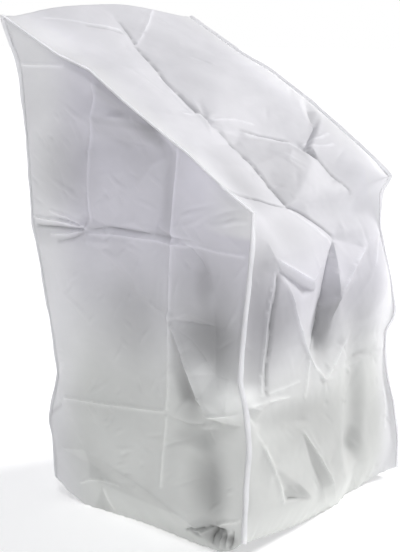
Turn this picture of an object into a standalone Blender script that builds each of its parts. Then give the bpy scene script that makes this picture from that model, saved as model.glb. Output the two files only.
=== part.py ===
"""Fitted rain cover for a stack of garden chairs, as it hangs over the stack.

Five sewn pieces: one long strip that runs up the back, down the sloping top and down the front, a
panel on each side, and a bound tape standing along each of the two long seams. The chairs are left
out, so the cover is hollow and open at the bottom. Metres, +Z up, the low front towards -Y, the
hem's lowest point at z = 0. Heights in the tables are counted from the hem's corners, HEM_DROP up.
"""

import bmesh
import bpy
import numpy as np

SHEET = 0.0012  # thickness of the film
SEAM_INSET = 0.0016  # each sheet's edge stops this far short of the seam line
TAPE_WIDTH = 0.010
TAPE_THICK = 0.0010
TAPE_START = 0.0003  # from the seam line to the tape's inner edge, where the tape stands straight
TAPE_LAID_START = 0.0019  # the same where the tape leans over the front
LAID_ANGLE = 80.0  # degrees over the front
LONGEST_MITRE = 1.4  # how much longer the tape gets at the pointed top corners
HEM_DROP = 0.0540  # from the hem's corners down to its lowest point
CENTRE_SHIFT = (-0.0080, -0.0258)  # puts the middle of the cover's box at x = 0, y = 0

FRONT_TOP = 0.79  # height of the slope's front edge
SLOPE_LENGTH = 0.8155  # from the slope's front edge up to the ridge
BACK_TOP = 1.19  # height of the ridge's ends
HEM_REACH = 0.11  # height over which the elastic draws the hem in
HEM_IN = 0.032
RIGHT_HEM_SHARE = 0.50  # the right panel's hem sags this much of the left one's
SEAM_CALM = 0.035  # folds fade out over this distance from a seam
FULL_NEAR = 0.16  # within this distance of the slope's front edge the crown's arch is fuller
CROWN_TURN = 0.30  # the crown's direction turns round a bend over this distance
FOLD_TURN = 0.12  # and a fold's direction over this one

BACK_ROWS, SLOPE_ROWS, FRONT_ROWS, ACROSS_ROWS = 24, 16, 24, 15
SECTIONS = ("back", "slope", "front")
ROWS = dict(zip(SECTIONS, (BACK_ROWS, SLOPE_ROWS, FRONT_ROWS)))

# The two long seams, from the back hem up over the ridge and down to the front hem: x, y, height.
LEFT_SEAM = {
    "back": (
        (-0.322, 0.292, 0.000),
        (-0.326, 0.291, 0.100),
        (-0.328, 0.303, 0.160),
        (-0.328, 0.287, 0.220),
        (-0.328, 0.264, 0.295),
        (-0.329, 0.277, 0.400),
        (-0.330, 0.297, 0.500),
        (-0.330, 0.318, 0.610),
        (-0.330, 0.337, 0.690),
        (-0.330, 0.343, 0.850),
        (-0.331, 0.357, 1.050),
        (-0.332, 0.364, 1.090),
        (-0.334, 0.386, 1.135),
        (-0.336, 0.408, 1.190),
    ),
    "slope": (
        (-0.336, 0.408, 1.190),
        (-0.333, 0.328, 1.150),
        (-0.330, 0.228, 1.101),
        (-0.329, 0.130, 1.070),
        (-0.328, 0.030, 1.007),
        (-0.328, -0.070, 0.950),
        (-0.327, -0.170, 0.894),
        (-0.325, -0.268, 0.826),
        (-0.320, -0.338, 0.783),
    ),
    "front": (
        (-0.320, -0.338, 0.783),
        (-0.322, -0.336, 0.720),
        (-0.330, -0.330, 0.600),
        (-0.338, -0.324, 0.500),
        (-0.343, -0.320, 0.408),
        (-0.331, -0.329, 0.335),
        (-0.325, -0.334, 0.250),
        (-0.330, -0.330, 0.150),
        (-0.333, -0.327, 0.015),
    ),
}
RIGHT_SEAM = {
    "back": (
        (0.330, 0.292, 0.000),
        (0.336, 0.300, 0.150),
        (0.331, 0.276, 0.300),
        (0.330, 0.305, 0.500),
        (0.331, 0.330, 0.690),
        (0.332, 0.336, 0.850),
        (0.333, 0.346, 1.080),
        (0.335, 0.366, 1.190),
    ),
    "slope": (
        (0.335, 0.366, 1.190),
        (0.335, 0.256, 1.131),
        (0.335, 0.188, 1.093),
        (0.335, 0.079, 1.045),
        (0.335, -0.050, 0.968),
        (0.333, -0.140, 0.908),
        (0.325, -0.243, 0.841),
        (0.307, -0.320, 0.790),
    ),
    "front": (
        (0.307, -0.320, 0.790),
        (0.295, -0.302, 0.750),
        (0.297, -0.303, 0.660),
        (0.307, -0.311, 0.605),
        (0.325, -0.326, 0.520),
        (0.339, -0.336, 0.430),
        (0.335, -0.333, 0.405),
        (0.319, -0.321, 0.375),
        (0.320, -0.322, 0.300),
        (0.328, -0.328, 0.240),
        (0.343, -0.340, 0.172),
        (0.358, -0.352, 0.060),
        (0.358, -0.352, -0.028),
    ),
}

# The strip's middle beside the straight line between the seams: share of the section, out, up.
CROWN = {
    "back": (
        (0.00, 0.006, -0.045),
        (0.08, 0.020, -0.030),
        (0.30, 0.004, 0.000),
        (0.80, 0.002, 0.000),
        (1.00, 0.000, 0.037),
    ),
    "slope": (
        (0.00, 0.000, 0.037),
        (0.15, 0.010, 0.008),
        (0.50, -0.012, 0.000),
        (0.78, -0.024, 0.000),
        (0.90, -0.046, 0.000),
        (1.00, -0.074, 0.000),
    ),
    "front": (
        (0.00, -0.074, 0.000),
        (0.07, -0.044, 0.000),
        (0.15, -0.010, 0.000),
        (0.30, 0.002, 0.000),
        (0.44, -0.016, 0.000),
        (0.60, 0.000, 0.000),
        (0.90, 0.020, -0.020),
        (1.00, 0.006, -0.045),
    ),
}

# The side panels' hems beside the straight line between their corners: share from the back, drop.
HEM = (
    (0.00, 0.000),
    (0.05, -0.024),
    (0.15, -0.048),
    (0.50, -0.061),
    (0.75, -0.064),
    (0.86, -0.058),
    (0.94, -0.034),
    (1.00, 0.000),
)

# Broad swells of the sheets: centre (across, height or place), half sizes, out. Side panels count
# y and height; the strip counts x and its place along itself, 0 at the slope's front edge, positive
# up the slope and over the ridge, negative down the front.
LEFT_SWELLS = (
    (0.05, 0.56, 0.30, 0.26, -0.014),
    (0.02, 0.12, 0.32, 0.22, 0.016),
    (-0.24, 0.74, 0.14, 0.16, 0.010),
)
RIGHT_SWELLS = (
    (0.00, 0.55, 0.30, 0.26, -0.012),
    (0.05, 0.14, 0.32, 0.22, 0.018),
)
STRIP_SWELLS = (
    (0.22, -0.24, 0.14, 0.16, 0.012),
    (-0.15, -0.62, 0.18, 0.16, 0.008),
    (0.00, 1.40, 0.26, 0.30, -0.012),
)

# Main folds: from (across, place), to (across, place), depth at each end, reach to the left and to
# the right of the fold's own direction. Depth is outwards, so a trough is negative.
LEFT_FOLDS = (
    (0.34, 0.690, 0.14, 0.690, -0.008, -0.009, 0.040, 0.045),
    (0.15, 0.895, -0.05, 0.888, -0.008, -0.016, 0.090, 0.070),
    (-0.105, 0.866, -0.061, 0.724, -0.014, -0.016, 0.080, 0.040),
    (-0.061, 0.724, -0.041, 0.603, -0.016, -0.008, 0.080, 0.060),
    (-0.176, 0.688, -0.218, 0.631, -0.008, -0.018, 0.060, 0.060),
    (-0.218, 0.631, -0.229, 0.510, -0.018, -0.028, 0.060, 0.060),
    (-0.229, 0.510, -0.238, 0.410, -0.028, -0.020, 0.060, 0.060),
    (-0.125, 0.501, -0.219, 0.349, 0.004, 0.011, 0.040, 0.060),
    (-0.240, 0.315, -0.320, 0.333, 0.012, 0.006, 0.035, 0.060),
    (-0.158, 0.262, -0.198, 0.240, -0.014, -0.020, 0.040, 0.040),
    (0.155, 0.124, -0.065, 0.074, 0.002, 0.002, 0.050, 0.090),
    (-0.065, 0.074, -0.177, 0.022, 0.002, 0.002, 0.050, 0.080),
    (-0.217, 0.182, -0.212, 0.050, -0.012, -0.014, 0.050, 0.050),
)
RIGHT_FOLDS = (
    (0.30, 0.700, -0.30, 0.690, -0.008, -0.012, 0.045, 0.045),
    (-0.10, 0.900, -0.06, 0.620, -0.010, -0.006, 0.060, 0.050),
    (0.16, 0.980, 0.20, 0.600, -0.008, -0.012, 0.060, 0.050),
    (-0.28, 0.460, -0.16, 0.220, -0.012, -0.014, 0.050, 0.060),
    (0.18, 0.300, 0.10, 0.040, -0.010, -0.014, 0.060, 0.060),
)
STRIP_FOLDS = (
    (0.010, 0.800, -0.045, 0.645, -0.003, -0.009, 0.080, 0.060),
    (-0.045, 0.645, -0.092, 0.335, -0.009, -0.016, 0.100, 0.080),
    (0.040, 0.422, 0.300, 0.577, 0.010, 0.006, 0.080, 0.060),
    (-0.092, 0.335, 0.120, 0.222, -0.012, -0.016, 0.060, 0.050),
    (0.140, 0.180, 0.290, 0.300, -0.014, -0.008, 0.055, 0.040),
    (-0.092, 0.320, -0.090, 0.170, -0.010, -0.032, 0.080, 0.080),
    (-0.090, 0.170, -0.074, 0.003, -0.032, -0.022, 0.080, 0.090),
    (-0.074, 0.003, 0.075, -0.127, -0.020, -0.024, 0.060, 0.060),
    (-0.236, -0.117, -0.080, -0.198, 0.018, 0.022, 0.100, 0.035),
    (-0.175, -0.205, -0.070, -0.381, 0.018, 0.018, 0.050, 0.050),
    (0.040, -0.170, -0.014, -0.274, -0.022, -0.022, 0.045, 0.050),
    (-0.014, -0.274, -0.022, -0.330, -0.022, -0.018, 0.045, 0.050),
    (0.050, -0.262, 0.200, -0.167, 0.020, 0.018, 0.100, 0.035),
    (0.200, -0.167, 0.295, -0.135, 0.022, 0.006, 0.100, 0.035),
    (-0.300, -0.460, -0.005, -0.465, 0.008, 0.013, 0.050, 0.050),
    (-0.005, -0.465, 0.111, -0.390, 0.013, 0.009, 0.050, 0.050),
    (-0.250, -0.610, -0.085, -0.725, 0.011, 0.006, 0.050, 0.060),
    (-0.120, -0.560, 0.004, -0.715, 0.004, 0.006, 0.050, 0.050),
    (0.160, -0.380, 0.121, -0.660, -0.006, -0.014, 0.070, 0.070),
    (0.121, -0.660, 0.170, -0.760, -0.014, -0.012, 0.070, 0.070),
    (-0.140, 1.000, -0.100, 1.800, -0.008, -0.014, 0.080, 0.070),
    (0.160, 1.050, 0.120, 1.900, -0.006, -0.012, 0.080, 0.070),
    (-0.300, 1.310, 0.300, 1.320, -0.008, -0.008, 0.040, 0.040),
)

# How far the tape leans over the strip, in degrees, at shares of each section.
TAPE_LEAN = {
    "back": ((0.0, 0.0), (1.0, 0.0)),
    "slope": ((0.0, 0.0), (0.9, 0.0), (1.0, 15.0)),
    "front": ((0.0, 15.0), (0.12, 80.0), (1.0, 80.0)),
}

FILM_COLOUR = (0.78, 0.77, 0.81, 1.0)
TAPE_COLOUR = (0.90, 0.90, 0.92, 1.0)


def table_at(rows, share):
    """The table's other columns at each share, read straight between the rows."""
    columns = np.array(rows).T
    return [np.interp(share, columns[0], column) for column in columns[1:]]


def along_section(rows, share):
    """Points at shares of the length of a line through the rows."""
    points = np.array(rows)
    steps = np.linalg.norm(np.diff(points, axis=0), axis=1)
    place = np.concatenate(([0.0], np.cumsum(steps))) / steps.sum()
    return np.stack([np.interp(share, place, points[:, axis]) for axis in range(3)], axis=-1)


def swell_height(across, place, swells):
    """Sum of round swells: out * (1 - r^2)^2 inside each one's ellipse."""
    height = np.zeros_like(across)
    for centre_across, centre_place, half_across, half_place, out in swells:
        inside = ((across - centre_across) / half_across) ** 2 + ((place - centre_place) / half_place) ** 2
        height += out * np.clip(1.0 - inside, 0.0, 1.0) ** 2
    return height


def fold_height(across, place, folds):
    """Tent-shaped folds, each with its own reach on either side of its line: the highest ridge plus
    the deepest trough at each place."""
    ridges = np.zeros_like(across)
    troughs = np.zeros_like(across)
    for from_across, from_place, to_across, to_place, depth_from, depth_to, left, right in folds:
        run = np.array((to_across - from_across, to_place - from_place))
        length = np.linalg.norm(run)
        run /= length
        beside = (across - from_across, place - from_place)
        ahead = np.clip(beside[0] * run[0] + beside[1] * run[1], 0.0, length)
        offset = (beside[0] - ahead * run[0], beside[1] - ahead * run[1])
        turn = run[0] * offset[1] - run[1] * offset[0]
        reach = np.where(turn > 0.0, left, right)
        depth = depth_from + (depth_to - depth_from) * ahead / length
        tent = depth * np.clip(1.0 - np.hypot(*offset) / reach, 0.0, 1.0)
        ridges = np.maximum(ridges, tent)
        troughs = np.minimum(troughs, tent)
    return ridges + troughs


def place_of(section, share):
    """The place along the strip: 0 at the slope's front edge, positive up the slope and over the
    ridge, negative down the front."""
    return {
        "back": SLOPE_LENGTH + BACK_TOP * (1.0 - share),
        "slope": SLOPE_LENGTH * (1.0 - share),
        "front": -FRONT_TOP * share,
    }[section]


def strip_point(across, section, share, crown_direction, fold_direction):
    """A point of the strip: straight between the seams, plus its crown, swells, folds and drawn-in
    hem. across runs from the left seam to the right one."""
    left = along_section(LEFT_SEAM[section], share)
    right = along_section(RIGHT_SEAM[section], share)
    point = left + (right - left) * across[:, None]
    out, up = table_at(CROWN[section], share)
    place = place_of(section, share)
    arch = 1.0 - np.abs(2.0 * across - 1.0) ** 2
    fuller = 1.0 - np.abs(2.0 * across - 1.0) ** 3.5
    arch += (fuller - arch) * np.exp(-((place / FULL_NEAR) ** 2))
    x = point[:, 0]
    width = right[:, 0] - left[:, 0]
    calm = np.clip(np.minimum(across, 1.0 - across) * width / SEAM_CALM, 0.0, 1.0)
    lift = calm * (swell_height(x, place, STRIP_SWELLS) + fold_height(x, place, STRIP_FOLDS))
    if section != "slope":
        above_hem = (share if section == "back" else 1.0 - share) * (
            BACK_TOP if section == "back" else FRONT_TOP
        )
        drawn = np.clip(1.0 - above_hem / HEM_REACH, 0.0, 1.0) ** 2
        lift -= HEM_IN * drawn * calm * (1.0 - np.abs(2.0 * across - 1.0) ** 4)
    point += crown_direction * (out * arch)[:, None] + fold_direction * lift[:, None]
    point[:, 2] += up * arch
    return point


def outward(seam, places=None, turn=0.0):
    """Each seam point's outward direction in the strip, square to the seam's run. With places and a
    turn, the run is first averaged over the points within that distance."""
    run = np.gradient(seam, axis=0)
    run /= np.linalg.norm(run, axis=1)[:, None]
    if turn > 0.0:
        weights = np.clip(1.0 - np.abs(places[:, None] - places[None, :]) / turn, 0.0, 1.0)
        run = weights @ run
    out = np.stack((np.zeros(len(seam)), -run[:, 2], run[:, 1]), axis=-1)
    return -out / np.linalg.norm(out, axis=1)[:, None]


def seam_samples():
    """Section and share of each row of the strip, the shared rows at the bends counted once."""
    rows = []
    for section in SECTIONS:
        first = 0 if section == "back" else 1
        rows += [(section, step / ROWS[section]) for step in range(first, ROWS[section] + 1)]
    return rows


def seam_line(seam, samples):
    return np.array([along_section(seam[section], share) for section, share in samples])


def strip_surface(u, v):
    """u from the left seam to the right, v from the back hem over the top to the front hem."""
    samples = seam_samples()
    left, right = seam_line(LEFT_SEAM, samples), seam_line(RIGHT_SEAM, samples)
    places = np.array([place_of(section, share) for section, share in samples])
    middle = (left + right) / 2.0
    crown_out, fold_out = outward(middle, places, CROWN_TURN), outward(middle, places, FOLD_TURN)
    rows = np.rint(v * (len(samples) - 1)).astype(int)
    width = np.linalg.norm(right - left, axis=1)[rows]
    across = SEAM_INSET / width + u * (1.0 - 2.0 * SEAM_INSET / width)
    points = np.empty((len(u), 3))
    for index, (section, share) in enumerate(samples):
        chosen = rows == index
        shares = np.full(chosen.sum(), share)
        points[chosen] = strip_point(across[chosen], section, shares, crown_out[index], fold_out[index])
    return points


def side_surface(seam, outside, hem_share, swells, folds):
    """A side panel's surface between the two upright runs of its seam, its slope and its hem. u runs
    from back to front, v from the hem up. outside is -1 for the left panel and 1 for the right. In the
    panel's middle the hem sags by hem_share of the HEM table."""

    def surface(u, v):
        corner_back, corner_front = along_section(seam["slope"], np.array((0.0, 1.0)))
        hem_back = along_section(seam["back"], 0.0)
        hem_front = along_section(seam["front"], 1.0)
        length, height = np.linalg.norm(corner_front - corner_back), BACK_TOP + (FRONT_TOP - BACK_TOP) * u
        u = SEAM_INSET / length + u * (1.0 - 2.0 * SEAM_INSET / length)
        v = v * (1.0 - SEAM_INSET / height)
        back, front = along_section(seam["back"], v), along_section(seam["front"], 1.0 - v)
        top = along_section(seam["slope"], u)
        across, up = u[:, None], v[:, None]
        hem = hem_back + (hem_front - hem_back) * across
        hem[:, 2] += hem_share * table_at(HEM, u)[0]
        point = (1.0 - up) * hem + up * top + (1.0 - across) * back + across * front
        point -= (1.0 - up) * ((1.0 - across) * hem_back + across * hem_front)
        point -= up * ((1.0 - across) * corner_back + across * corner_front)
        from_seam = np.minimum(np.minimum(u, 1.0 - u) * length, (1.0 - v) * height)
        calm = np.clip(from_seam / SEAM_CALM, 0.0, 1.0)
        y, z = point[:, 1], point[:, 2]
        lift = calm * (swell_height(y, z, swells) + fold_height(y, z, folds))
        drawn = np.clip(1.0 - v * height / HEM_REACH, 0.0, 1.0) ** 2
        lift -= HEM_IN * drawn * calm * (1.0 - np.abs(2.0 * u - 1.0) ** 4)
        point[:, 0] += outside * lift
        return point

    return surface


def tape_surface(seam, outside):
    """The tape's middle surface. u crosses it from the seam line outwards, v runs along the seam."""

    def surface(u, v):
        samples = seam_samples()
        line = seam_line(seam, samples)
        strip_out = outward(line)
        side_out = np.array((outside, 0.0, 0.0))
        lean = np.array([table_at(TAPE_LEAN[section], share)[0] for section, share in samples])
        turn = np.radians(lean)[:, None]
        stand = (side_out + strip_out) / np.sqrt(2.0)
        lay = (strip_out - side_out) / np.sqrt(2.0)
        direction = np.cos(turn) * stand + np.sin(turn) * lay
        steps = np.diff(line, axis=0)
        steps /= np.linalg.norm(steps, axis=1)[:, None]
        bend = np.ones(len(line))
        bend[1:-1] = np.sqrt((1.0 + (steps[1:] * steps[:-1]).sum(axis=1)) / 2.0)
        mitre = np.minimum(1.0 / np.maximum(bend, 0.1), LONGEST_MITRE)
        start = TAPE_START + (TAPE_LAID_START - TAPE_START) * lean / LAID_ANGLE
        rows = np.rint(v * (len(line) - 1)).astype(int)
        reach = start[rows] + u * TAPE_WIDTH * mitre[rows]
        return line[rows] + direction[rows] * reach[:, None]

    return surface


def film_material(name, colour, roughness):
    material = bpy.data.materials.new(name)
    material.use_nodes = True
    shader = material.node_tree.nodes["Principled BSDF"]
    shader.inputs["Base Color"].default_value = colour
    shader.inputs["Roughness"].default_value = roughness
    shader.inputs["Metallic"].default_value = 0.0
    return material


def make_sheet(name, squares, surface, thickness, material, collection):
    """A grid of squares[0] by squares[1], moved onto the surface and thickened."""
    grid = bmesh.new()
    bmesh.ops.create_grid(grid, x_segments=squares[0], y_segments=squares[1], size=0.5)
    mesh = bpy.data.meshes.new(name)
    grid.to_mesh(mesh)
    grid.free()
    places = np.empty(len(mesh.vertices) * 3)
    mesh.vertices.foreach_get("co", places)
    places = places.reshape(-1, 3) + 0.5
    points = surface(places[:, 0], places[:, 1])
    points += (*CENTRE_SHIFT, HEM_DROP)
    mesh.vertices.foreach_set("co", points.ravel())
    mesh.shade_smooth()
    mesh.materials.append(material)
    piece = bpy.data.objects.new(name, mesh)
    collection.objects.link(piece)
    wall = piece.modifiers.new("Thickness", "SOLIDIFY")
    wall.thickness = thickness
    wall.offset = 0.0
    return piece


def build():
    for old in list(bpy.data.objects):
        bpy.data.objects.remove(old, do_unlink=True)
    collection = bpy.data.collections.new("stacking_chair_cover")
    bpy.context.scene.collection.children.link(collection)
    film = film_material("film", FILM_COLOUR, 0.45)
    tape = film_material("tape", TAPE_COLOUR, 0.55)
    along = BACK_ROWS + SLOPE_ROWS + FRONT_ROWS
    make_sheet("long_strip", (ACROSS_ROWS, along), strip_surface, SHEET, film, collection)
    sides = (
        ("left", LEFT_SEAM, -1.0, 1.0, LEFT_SWELLS, LEFT_FOLDS),
        ("right", RIGHT_SEAM, 1.0, RIGHT_HEM_SHARE, RIGHT_SWELLS, RIGHT_FOLDS),
    )
    for side, seam, outside, hem_share, swells, folds in sides:
        panel = side_surface(seam, outside, hem_share, swells, folds)
        make_sheet(f"side_panel_{side}", (SLOPE_ROWS, BACK_ROWS), panel, SHEET, film, collection)
        ribbon = tape_surface(seam, outside)
        make_sheet(f"seam_tape_{side}", (1, along), ribbon, TAPE_THICK, tape, collection)


build()
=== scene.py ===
import math

import bpy
import numpy as np
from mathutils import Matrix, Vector
from mathutils.geometry import delaunay_2d_cdt, intersect_point_line


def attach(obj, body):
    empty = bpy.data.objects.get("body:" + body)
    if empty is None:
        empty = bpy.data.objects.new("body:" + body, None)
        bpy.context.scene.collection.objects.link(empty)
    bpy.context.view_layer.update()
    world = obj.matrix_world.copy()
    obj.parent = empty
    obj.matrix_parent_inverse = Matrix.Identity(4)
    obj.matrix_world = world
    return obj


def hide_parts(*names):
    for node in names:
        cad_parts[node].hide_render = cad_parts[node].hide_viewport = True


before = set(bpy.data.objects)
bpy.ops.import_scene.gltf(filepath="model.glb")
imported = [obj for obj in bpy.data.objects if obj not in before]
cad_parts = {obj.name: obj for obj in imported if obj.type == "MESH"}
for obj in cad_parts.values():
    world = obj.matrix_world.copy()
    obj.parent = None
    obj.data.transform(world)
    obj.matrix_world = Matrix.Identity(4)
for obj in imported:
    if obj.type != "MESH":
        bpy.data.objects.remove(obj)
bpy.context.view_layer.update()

# Metres. The cut's own places count from its middle and from the hem's corners: frameShift takes
# them into the frame, where z = 0 is the hem's lowest point.
frameShift = np.array((-0.0080, -0.0258, 0.0540))
backTop, frontTop, slopeLength = 1.19, 0.79, 0.8155
halfSize = 0.33  # half the width and half the depth between the seams
seamRounding = 0.022
creaseAngle = 9.0  # a marked crease bent by more degrees than this stays sharp
fullCalm = 0.99  # a crease is marked only where more than this share of it is left
sections = ("back", "slope", "front")  # the long seam's three runs
longTables = sections + ("swells", "edges", "creases", "softLines", "pinches", "shades", "panes")


# Every number of a nested table divided by a thousand.
def thousandths(table):
    return tuple(thousandths(row) if isinstance(row, tuple) else row / 1000.0 for row in table)


# The long tables are typed in thousandths: places and heights in millimetres, painted shades per mille.
def inMetres(settings):
    return {key: thousandths(value) if key in longTables else value for key, value in settings.items()}


# the two long seams, from the back hem up over the ridge and down to the front hem: x, y, height
leftSeam = inMetres({
    "back": (
        (-322, 292, 0), (-326, 291, 100), (-328, 303, 160), (-328, 287, 220), (-328, 264, 295),
        (-329, 277, 400), (-330, 297, 500), (-330, 318, 610), (-330, 337, 690), (-330, 343, 850),
        (-331, 357, 1050), (-332, 364, 1090), (-334, 386, 1135), (-336, 408, 1190),
    ),
    "slope": (
        (-336, 408, 1190), (-333, 328, 1150), (-330, 228, 1101), (-329, 130, 1070), (-328, 30, 1007),
        (-328, -70, 950), (-327, -170, 894), (-325, -268, 826), (-320, -338, 783),
    ),
    "front": (
        (-320, -338, 783), (-322, -336, 720), (-330, -330, 600), (-338, -324, 500), (-343, -320, 408),
        (-331, -329, 335), (-325, -334, 250), (-330, -330, 150), (-333, -327, 15),
    ),
})
rightSeam = inMetres({
    "back": (
        (330, 292, 0), (336, 300, 150), (331, 276, 300), (330, 305, 500), (331, 330, 690),
        (332, 336, 850), (333, 346, 1080), (335, 366, 1190),
    ),
    "slope": (
        (335, 366, 1190), (335, 256, 1131), (335, 188, 1093), (335, 79, 1045), (335, -50, 968),
        (333, -140, 908), (325, -243, 841), (307, -320, 790),
    ),
    "front": (
        (307, -320, 790), (295, -302, 750), (297, -303, 660), (307, -311, 605), (325, -326, 520),
        (339, -336, 430), (335, -333, 405), (319, -321, 375), (320, -322, 300), (328, -328, 240),
        (343, -340, 172), (358, -352, 60), (358, -352, -28),
    ),
})


# Points at shares of a line's length: straight between the rows, then each point becomes the
# weighted mean of its neighbours within the rounding length. The two ends stay where they are.
def alongSection(rows, share, steps=600):
    rows = np.array(rows)
    place = np.concatenate(([0.0], np.cumsum(np.linalg.norm(np.diff(rows, axis=0), axis=1))))
    fine = np.linspace(0.0, place[-1], steps + 1)
    line = np.stack([np.interp(fine, place, column) for column in rows.T], axis=-1)
    half = max(1, int(seamRounding / place[-1] * steps))
    before = 2.0 * line[0] - line[half:0:-1]
    after = 2.0 * line[-1] - line[-2 : -half - 2 : -1]
    longer = np.concatenate((before, line, after))
    weights = np.hanning(2 * half + 3)[1:-1]
    weights /= weights.sum()
    soft = [np.convolve(column, weights, "valid") for column in longer.T]
    return np.stack([np.interp(share, fine / place[-1], column) for column in soft], axis=-1)


# The columns after the first, read straight between the rows at shares in the first.
def tableAt(rows, share):
    columns = np.array(rows).T
    return [np.interp(share, columns[0], column) for column in columns[1:]]


# 0 below low, 1 above high and an S-curve between them
def softStep(value, low, high):
    t = np.clip((value - low) / (high - low), 0.0, 1.0)
    return t * t * (3.0 - 2.0 * t)


# Round swells: out * (1 - r^2)^2 inside each ellipse, summed.
def swellHeight(a, b, swells):
    height = np.zeros_like(a)
    for centreA, centreB, halfA, halfB, out in swells:
        inside = ((a - centreA) / halfA) ** 2 + ((b - centreB) / halfB) ** 2
        height += out * np.clip(1.0 - inside, 0.0, 1.0) ** 2
    return height


# Beside a straight run between two points: the run's direction and length, how far along it the
# nearest point of it is, and the offset from that point.
def besideRun(a, b, start, end):
    length = math.hypot(end[0] - start[0], end[1] - start[1])
    runA, runB = (end[0] - start[0]) / length, (end[1] - start[1]) / length
    ahead = np.clip((a - start[0]) * runA + (b - start[1]) * runB, 0.0, length)
    return runA, runB, length, ahead, a - start[0] - ahead * runA, b - start[1] - ahead * runB


foldShapes = {
    "facet": lambda t: t,
    "soft": lambda t: t * t * (3.0 - 2.0 * t),
    "pinch": lambda t: t**2.2,
}


# One fold along a line of points (a, b, depth): the depth at the nearest point of the line, times
# the fold's shape of 1 - distance / reach, with its own reach to the left and right of the line.
def foldHeight(a, b, shape, left, right, points):
    nearest = np.full(a.shape, 1e9)
    height = np.zeros_like(a)
    for start, end in zip(points[:-1], points[1:]):
        runA, runB, length, ahead, offA, offB = besideRun(a, b, start, end)
        distance = np.hypot(offA, offB)
        side = (runA * offB - runB * offA) / np.maximum(distance, 1e-9)
        reach = right + (left - right) * (0.5 + 0.5 * np.clip(side * 3.0, -1.0, 1.0))
        depth = start[2] + (end[2] - start[2]) * ahead / length
        part = foldShapes[shape](np.clip(1.0 - distance / reach, 0.0, 1.0))
        height = np.where(distance < nearest, depth * part, height)
        nearest = np.minimum(nearest, distance)
    return height


# All the folds and pinches of a piece, summed.
def foldsHeight(a, b, piece):
    height = sum(foldHeight(a, b, "pinch", *pinch) for pinch in piece["pinches"])
    return height + sum(foldHeight(a, b, *fold) for fold in piece["folds"])


starShape = {"turn": 0.35, "shortest": 0.45, "lowest": 0.4, "reach": 0.014}


# A star of small creases: spokes of its own length and height around a centre, seeded.
def starHeight(a, b, stars):
    height = np.zeros_like(a)
    for centreA, centreB, reach, spokes, depth, seed in stars:
        rng = np.random.default_rng(seed)
        turn = np.arange(spokes) * 2.0 * math.pi / spokes
        turn = turn + rng.uniform(-starShape["turn"], starShape["turn"], spokes)
        length = reach * rng.uniform(starShape["shortest"], 1.0, spokes)
        size = depth * rng.uniform(starShape["lowest"], 1.0, spokes) * rng.choice((-1.0, 1.0), spokes)
        for angle, far, high in zip(turn, length, size):
            tip = (centreA + far * math.cos(angle), centreB + far * math.sin(angle), 0.0)
            spoke = ((centreA, centreB, high), tip)
            height += foldHeight(a, b, "pinch", starShape["reach"], starShape["reach"], spoke)
    return height


wrinkleShape = {"shortest": 0.03, "longer": 0.12, "bend": 0.25, "lowest": 0.2, "reach": 0.009}


# Small creases left by folding and handling: short bent pinches at random places inside a box,
# each with its own length, direction and depth, seeded.
def wrinklesHeight(a, b, groups):
    height = np.zeros_like(a)
    for (lowA, lowB, highA, highB), count, turns, size, seed in groups:
        rng = np.random.default_rng(seed)
        for _ in range(count):
            startA = rng.uniform(lowA, highA)
            startB = rng.uniform(lowB, highB)
            turn = math.radians(rng.uniform(*turns))
            length = wrinkleShape["shortest"] + wrinkleShape["longer"] * rng.uniform(0.0, 1.0) ** 2
            turned = turn + rng.uniform(-wrinkleShape["bend"], wrinkleShape["bend"])
            depth = size * rng.uniform(wrinkleShape["lowest"], 1.0) * rng.choice((-1.0, 1.0))
            middleA = startA + 0.5 * length * math.cos(turn)
            middleB = startB + 0.5 * length * math.sin(turn)
            endA = middleA + 0.5 * length * math.cos(turned)
            endB = middleB + 0.5 * length * math.sin(turned)
            line = ((startA, startB, 0.0), (middleA, middleB, depth), (endA, endB, 0.0))
            height += foldHeight(a, b, "soft", wrinkleShape["reach"], wrinkleShape["reach"], line)
    return height


# Slow unevenness: a few dozen waves of random direction and length, each a sine, summed.
def waveHeight(a, b, size, shortest, longest, seed, count=36):
    rng = np.random.default_rng(seed)
    height = np.zeros_like(a)
    for turn, length, start in zip(
        rng.uniform(0.0, math.pi, count),
        rng.uniform(shortest, longest, count),
        rng.uniform(0.0, 2.0 * math.pi, count),
    ):
        height += np.sin((a * math.cos(turn) + b * math.sin(turn)) * 2.0 * math.pi / length + start)
    return height * size / math.sqrt(count / 2.0)


# Gathers of the elastic hem: sines of uneven length along the hem, fading out upwards.
def gatherHeight(along, aboveHem, size, spacing, fade, seed):
    bend = 0.6 * np.sin(along * 9.0 + seed) + 0.4 * np.sin(along * 23.0 + 2.0 * seed)
    wave = np.sin(2.0 * math.pi * along / spacing + 2.2 * bend)
    wave += 0.6 * np.sin(2.0 * math.pi * along / (0.61 * spacing) + 3.1 * bend + seed)
    return size * wave * np.clip(1.0 - aboveHem / fade, 0.0, 1.0) ** 1.5


mergeWithin, crossWithin = 1e-5, 1e-4  # points this close are one, and on a line this close cross it


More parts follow.
